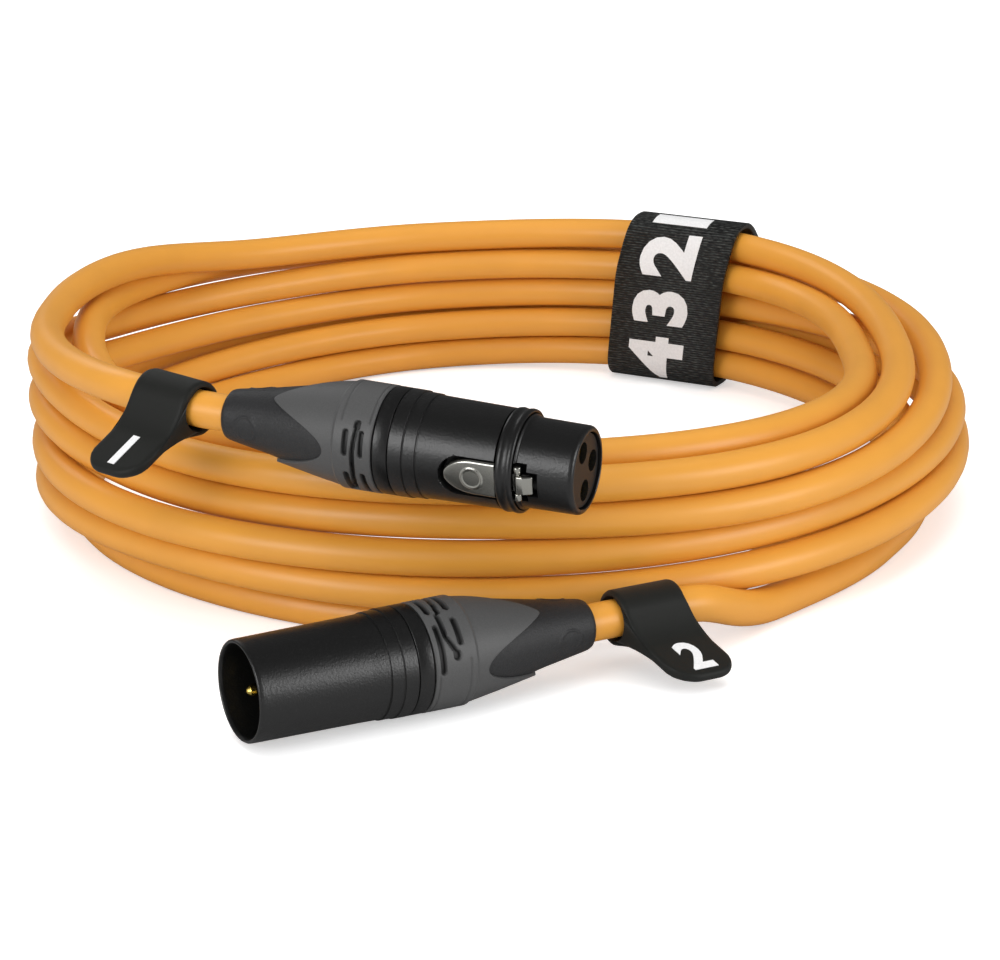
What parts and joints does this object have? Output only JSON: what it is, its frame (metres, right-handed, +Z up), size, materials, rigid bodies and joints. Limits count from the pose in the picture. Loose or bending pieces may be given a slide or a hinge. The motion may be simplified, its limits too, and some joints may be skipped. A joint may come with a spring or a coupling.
{
  "type": "xlr microphone cable coil",
  "caption": "Microphone cable wound into a strapped coil, with a male and a female three-pin connector lying in front of it, each with an identification tag behind its boot.",
  "frame": {"origin": "on the table, under the middle of the box round the connectors, tags and strap", "axes": "+Z up from the table, +Y away from someone who looks at the two connectors, +X to that person's right"},
  "size_m": [0.2054, 0.265, 0.0543],
  "materials": {
    "jacket": "satin",
    "shell": "satin",
    "bushing": "matte",
    "boot": "matte",
    "insert": "matte",
    "nickel": "polished",
    "gold": "polished",
    "chuck": "matte",
    "rubber": "matte",
    "webbing": "woven",
    "wire_hot": "satin",
    "wire_cold": "satin",
    "wire_shield": "satin"
  },
  "bodies": {
    "cable": {"cable_coil": "jacket", "cable_lead_male": "jacket", "cable_lead_female": "jacket", "cable_strap": "webbing", "male_shell": "shell", "male_insert": "insert", "male_pin_1": "gold", "male_pin_2": "gold", "male_pin_3": "gold", "male_wire_shield": "wire_shield", "male_wire_hot": "wire_hot", "male_wire_cold": "wire_cold", "male_chuck": "chuck", "male_cable_end": "jacket", "female_shell": "shell", "female_latch_ring": "shell", "female_insert": "insert", "female_contact_1": "gold", "female_contact_2": "gold", "female_contact_3": "gold", "female_wire_shield": "wire_shield", "female_wire_hot": "wire_hot", "female_wire_cold": "wire_cold", "female_chuck": "chuck", "female_cable_end": "jacket"},
    "male_ring": {"male_coding_ring": "bushing"},
    "male_nut": {"male_bushing": "bushing", "male_boot_grip": "boot"},
    "female_ring": {"female_coding_ring": "bushing"},
    "female_nut": {"female_bushing": "bushing", "female_boot_grip": "boot"},
    "latch": {"female_latch": "nickel"},
    "male_tag": {"male_id_tag": "rubber"},
    "female_tag": {"female_id_tag": "rubber"}
  },
  "joints": [
    {"name": "male_bushing_back", "type": "slide", "parent": "cable", "child": "male_ring", "axis": [0.8771, 0.4802, 0], "range_m": [0, 0.0036]},
    {"name": "male_bushing_turn", "type": "hinge", "parent": "male_ring", "child": "male_nut", "pos_m": [-0.00231, -0.10277, 0.01035], "axis": [0.8771, 0.4802, 0], "range_deg": [0, 1080]},
    {"name": "female_bushing_back", "type": "slide", "parent": "cable", "child": "female_ring", "axis": [-0.9266, 0.3744, 0.0366], "range_m": [0, 0.0036]},
    {"name": "female_bushing_turn", "type": "hinge", "parent": "female_ring", "child": "female_nut", "pos_m": [-0.02402, -0.07753, 0.04409], "axis": [-0.9266, 0.3744, 0.0366], "range_deg": [0, 1080]},
    {"name": "latch_press", "type": "hinge", "parent": "cable", "child": "latch", "pos_m": [-0.0044, -0.0939, 0.04153], "axis": [-0.0447, -0.2062, 0.9775], "range_deg": [0, 5], "stiffness_Nm_per_rad": 0.2, "springref_deg": -3.44},
    {"name": "male_tag_swivel", "type": "hinge", "parent": "cable", "child": "male_tag", "pos_m": [0.03217, -0.0839, 0.01035], "axis": [0.8771, 0.4802, 0], "range_deg": [-100, 0]},
    {"name": "female_tag_swivel", "type": "hinge", "parent": "cable", "child": "female_tag", "pos_m": [-0.05709, -0.06255, 0.04543], "axis": [-0.7981, 0.6014, 0.0366], "range_deg": [0, 100]}
  ],
  "couplings": [
    {"joint": "male_bushing_back", "follows": "male_bushing_turn", "m_per_rad": 0.00015915},
    {"joint": "female_bushing_back", "follows": "female_bushing_turn", "m_per_rad": 0.00015915}
  ]
}
